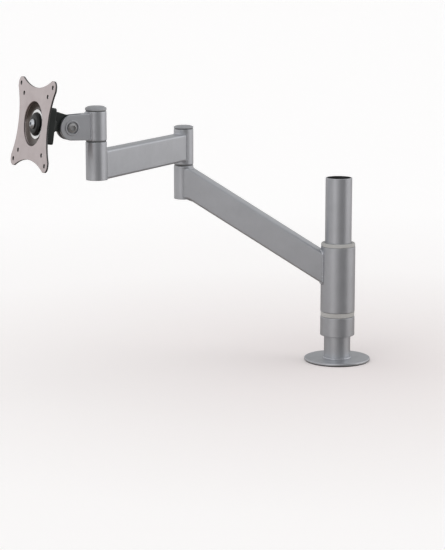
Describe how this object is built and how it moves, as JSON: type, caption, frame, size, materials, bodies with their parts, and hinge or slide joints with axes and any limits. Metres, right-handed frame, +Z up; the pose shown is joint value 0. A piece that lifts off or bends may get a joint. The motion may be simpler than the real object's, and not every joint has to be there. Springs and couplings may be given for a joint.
{
  "type": "monitor arm",
  "caption": "Desk monitor arm on a pole: a sleeve slides and turns on the pole, two links swing, and a tilting, turning screen plate hangs on the end.",
  "frame": {"origin": "centre of the base pad's underside, on the pole's axis, where the arm stands on the desk", "axes": "+Z up along the pole, -X along the lower link at rest, +Y to the rear of the desk"},
  "size_m": [0.4647, 0.3855, 0.5025],
  "materials": {
    "silver_coat": "satin silver-grey powder coat on steel tube",
    "plated_sheet": "bright satin plated sheet steel",
    "zinc_steel": "zinc-plated steel",
    "black_coat": "black satin coat on a casting",
    "black_plastic": "black moulded plastic",
    "pale_nylon": "natural nylon, turned",
    "grey_cap": "grey moulded plastic",
    "dark_nylon": "dark nylon washer",
    "rubber": "black rubber sheet",
    "brass": "turned brass"
  },
  "bodies": {
    "base": {"base_pad": "rubber", "base_flange": "silver_coat", "pole": "silver_coat", "pole_foot_plug": "zinc_steel", "desk_stud": "zinc_steel"},
    "desk_clamp": {"clamp_pad": "rubber", "clamp_plate": "zinc_steel", "clamp_washer": "zinc_steel"},
    "hand_nut": {"hand_nut": "black_plastic", "hand_nut_insert": "brass"},
    "height_collar": {"stop_collar": "silver_coat", "collar_set_screw": "zinc_steel"},
    "lower_arm": {"sleeve": "silver_coat", "sleeve_lower_bush": "pale_nylon", "sleeve_upper_bush": "pale_nylon", "lower_beam": "silver_coat", "elbow_lower_hub": "silver_coat", "elbow_end_plug": "grey_cap", "elbow_spindle": "zinc_steel", "elbow_seam_washer": "dark_nylon", "elbow_nut": "zinc_steel"},
    "forearm": {"elbow_upper_hub": "silver_coat", "elbow_lower_bush": "pale_nylon", "elbow_upper_bush": "pale_nylon", "elbow_thrust_washer": "zinc_steel", "elbow_cap": "grey_cap", "forearm_beam": "silver_coat", "wrist_lower_hub": "silver_coat", "wrist_end_plug": "grey_cap", "wrist_spindle": "zinc_steel", "wrist_seam_washer": "dark_nylon", "wrist_nut": "zinc_steel"},
    "swivel_head": {"swivel_clevis": "silver_coat", "wrist_lower_bush": "pale_nylon", "wrist_upper_bush": "pale_nylon", "wrist_thrust_washer": "zinc_steel", "wrist_cap": "grey_cap", "tilt_bolt": "zinc_steel", "tilt_nut": "zinc_steel", "tilt_washer_near": "dark_nylon", "tilt_washer_far": "dark_nylon"},
    "tilt_bracket": {"tilt_bracket": "black_coat", "turn_friction_washer": "dark_nylon", "turn_ring": "plated_sheet", "turn_disc": "black_plastic", "turn_bolt": "zinc_steel"},
    "screen_plate": {"screen_plate": "plated_sheet"}
  },
  "joints": [
    {"name": "clamp_slide", "type": "slide", "parent": "base", "child": "desk_clamp", "axis": [0, 0, 1], "range_m": [-0.012, 0.012]},
    {"name": "hand_nut_turn", "type": "hinge", "parent": "desk_clamp", "child": "hand_nut", "pos_m": [0, 0, -0.04], "axis": [0, 0, 1], "range_deg": [-2890, 2890]},
    {"name": "height_slide", "type": "slide", "parent": "base", "child": "height_collar", "axis": [0, 0, 1], "range_m": [-0.028, 0.09]},
    {"name": "arm_turn", "type": "hinge", "parent": "height_collar", "child": "lower_arm", "pos_m": [0, 0, 0.12], "axis": [0, 0, 1], "continuous": true},
    {"name": "elbow_turn", "type": "hinge", "parent": "lower_arm", "child": "forearm", "pos_m": [-0.224, 0, 0.2815], "axis": [0, 0, 1], "range_deg": [-201, 79]},
    {"name": "wrist_turn", "type": "hinge", "parent": "forearm", "child": "swivel_head", "pos_m": [-0.30409, -0.2326, 0.3396], "axis": [0, 0, 1], "range_deg": [-91, 159]},
    {"name": "head_tilt", "type": "hinge", "parent": "swivel_head", "child": "tilt_bracket", "pos_m": [-0.33444, -0.25547, 0.3592], "axis": [-0.6018, 0.7986, 0], "range_deg": [-30, 30]},
    {"name": "plate_turn", "type": "hinge", "parent": "tilt_bracket", "child": "screen_plate", "pos_m": [-0.37635, -0.28705, 0.36658], "axis": [-0.7909, -0.596, 0.1392], "continuous": true}
  ],
  "couplings": [
    {"joint": "hand_nut_turn", "follows": "clamp_slide", "rad_per_m": 4188.8}
  ]
}
